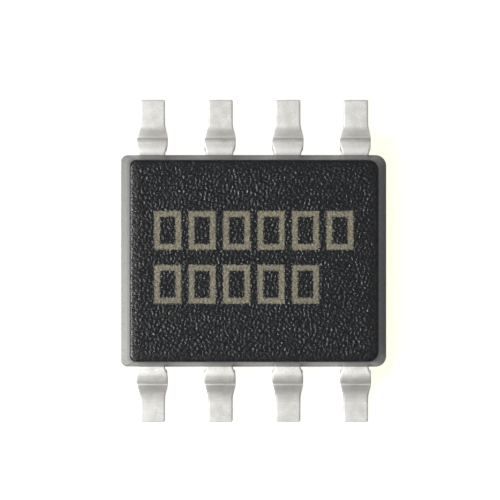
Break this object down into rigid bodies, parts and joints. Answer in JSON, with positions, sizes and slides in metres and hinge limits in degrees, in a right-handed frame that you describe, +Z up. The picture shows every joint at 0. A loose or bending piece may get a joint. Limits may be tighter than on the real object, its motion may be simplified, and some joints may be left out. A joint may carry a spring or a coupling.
{
  "type": "small-outline chip package",
  "caption": "Black moulded small-outline chip with gull-wing leads on both long sides, for soldering flat onto a board.",
  "frame": {"origin": "centre of the seating plane that the soles of the leads stand on", "axes": "+X along the body, away from the pin 1 end; +Y across the body towards the row of pins 5 to 8; +Z up from the board"},
  "size_m": [0.005, 0.006, 0.0016],
  "materials": {
    "mould_compound": "black epoxy moulding compound with a fine spark-eroded texture on top and smoother glossy walls",
    "tin_plate": "matte tin plating on copper alloy",
    "leadframe_copper": "stamped copper alloy, cut ends at the package's end walls",
    "silver_epoxy": "silver-filled die attach adhesive",
    "silicon": "polished silicon die",
    "gold_wire": "bright drawn gold wire"
  },
  "bodies": {
    "root": {"mould_body": "mould_compound", "lead_1": "tin_plate", "lead_2": "tin_plate", "lead_3": "tin_plate", "lead_4": "tin_plate", "lead_5": "tin_plate", "lead_6": "tin_plate", "lead_7": "tin_plate", "lead_8": "tin_plate", "die_pad": "leadframe_copper", "die_attach": "silver_epoxy", "die": "silicon", "bond_wire_1": "gold_wire", "bond_wire_2": "gold_wire", "bond_wire_3": "gold_wire", "bond_wire_4": "gold_wire", "bond_wire_5": "gold_wire", "bond_wire_6": "gold_wire", "bond_wire_7": "gold_wire", "bond_wire_8": "gold_wire"}
  },
  "joints": []
}
